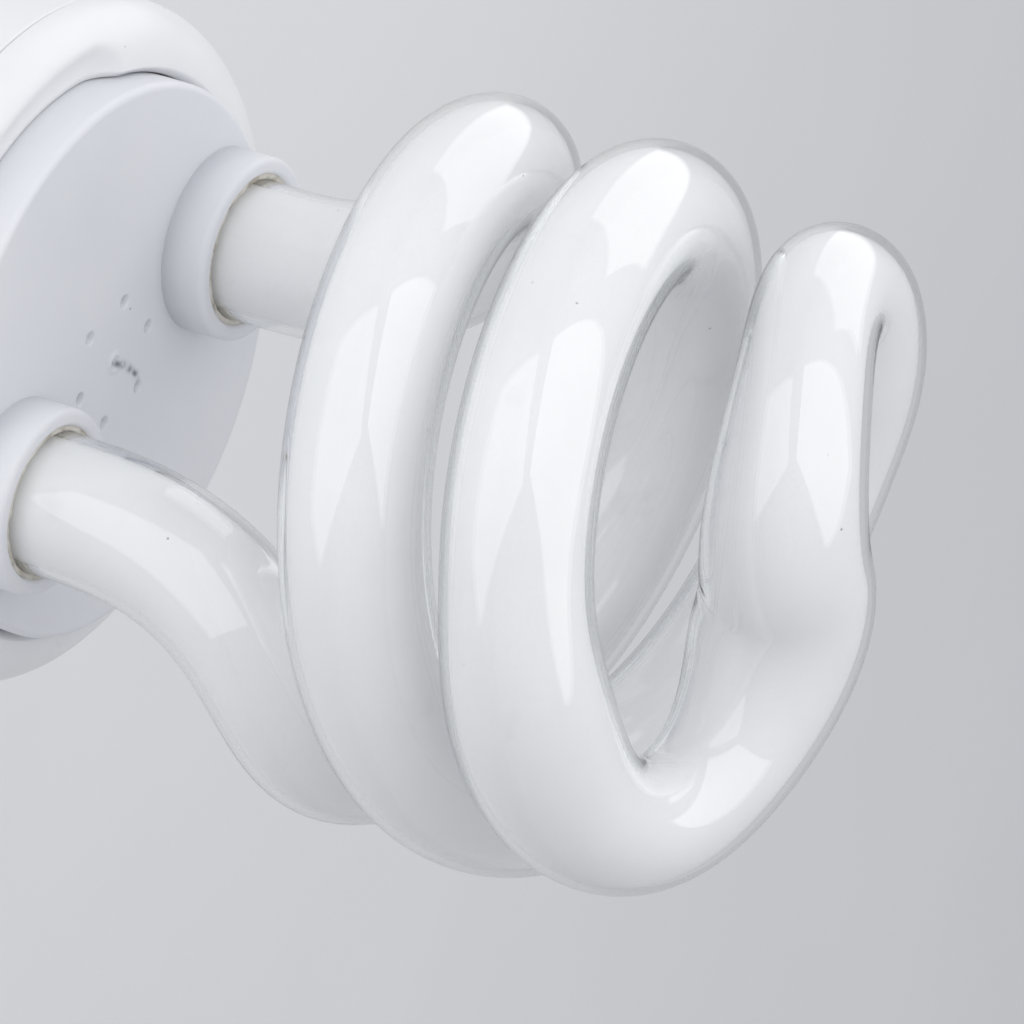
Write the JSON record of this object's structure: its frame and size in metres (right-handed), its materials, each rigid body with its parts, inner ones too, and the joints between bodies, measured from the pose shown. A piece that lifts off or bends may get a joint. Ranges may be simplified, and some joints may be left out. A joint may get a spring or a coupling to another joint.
{
  "type": "spiral energy saving lamp",
  "caption": "Spiral fluorescent lamp: a double helix of white-coated glass tube bridged at its tip, cemented into collars on a moulded housing with a screw cap.",
  "frame": {"origin": "on the lamp's axis at the face of the centre contact, where the cap meets its lampholder", "axes": "+Z along the lamp's axis from the cap to the tip of the spiral, +X through one leg of the tube"},
  "size_m": [0.0608, 0.0608, 0.1438],
  "materials": {
    "contact_metal": "satin, tinned",
    "cap_glass": "gloss, opaque black",
    "cap_metal": "bright satin",
    "housing_plastic": "satin moulded white",
    "plate_plastic": "fine matt, cool white",
    "cement": "dull, chalky",
    "tube_glass": "clear gloss over a white inner coat",
    "wire_metal": "tinned",
    "board": "satin laminate",
    "ferrite": "matt dark grey",
    "bobbin_plastic": "satin",
    "winding": "lacquered",
    "capacitor_can": "sleeved, gloss",
    "film_plastic": "dipped, gloss",
    "moulded_black": "matt moulded",
    "resistor_body": "coated, satin"
  },
  "bodies": {
    "root": {"centre_contact": "contact_metal", "cap_insulator": "cap_glass", "screw_shell": "cap_metal", "lower_housing": "housing_plastic", "upper_shell": "housing_plastic", "tube_plate": "plate_plastic", "cement_rings": "cement", "glass_tube": "tube_glass", "lead_wires": "wire_metal", "circuit_board": "board", "choke_core": "ferrite", "choke_bobbin": "bobbin_plastic", "choke_winding": "winding", "choke_base": "bobbin_plastic", "drive_toroid": "ferrite", "reservoir_capacitor": "capacitor_can", "film_capacitors": "film_plastic", "transistors": "moulded_black", "rectifier_diodes": "moulded_black", "fuse_resistor": "resistor_body", "supply_wires": "wire_metal"}
  },
  "joints": []
}
